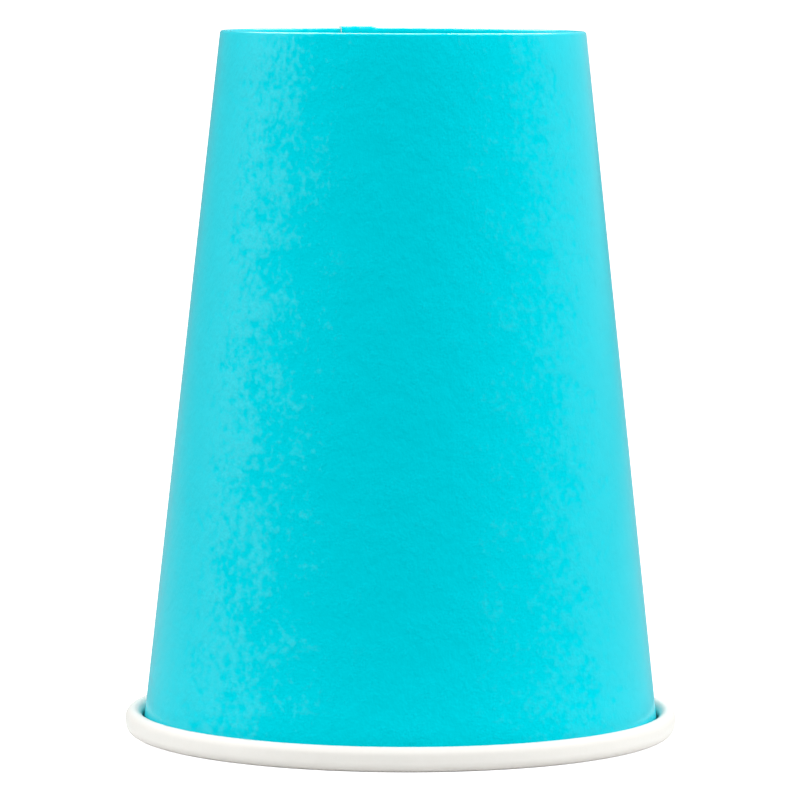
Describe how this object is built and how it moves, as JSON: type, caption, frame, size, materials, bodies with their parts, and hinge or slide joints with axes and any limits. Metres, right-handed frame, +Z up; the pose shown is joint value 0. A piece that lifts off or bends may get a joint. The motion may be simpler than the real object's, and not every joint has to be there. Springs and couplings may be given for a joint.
{
  "type": "disposable paper cup",
  "caption": "Single-wall tapered paper cup standing upside down on its rolled rim, with a lapped side seam and a recessed bottom held in the folded-in foot of the wall.",
  "frame": {"origin": "centre of the circle on which the rolled rim stands, with the cup upside down", "axes": "+Z up along the cup's axis from the rim to the foot, -Y towards the front, the side seam at the back between +Y and -X"},
  "size_m": [0.09, 0.09, 0.1148],
  "materials": {
    "printed_wall": "turquoise print on smooth board outside, white coated board inside",
    "bottom_board": "plain white board, coated on its inner face"
  },
  "bodies": {
    "root": {"side_wall": "printed_wall", "bottom_disc": "bottom_board"}
  },
  "joints": []
}
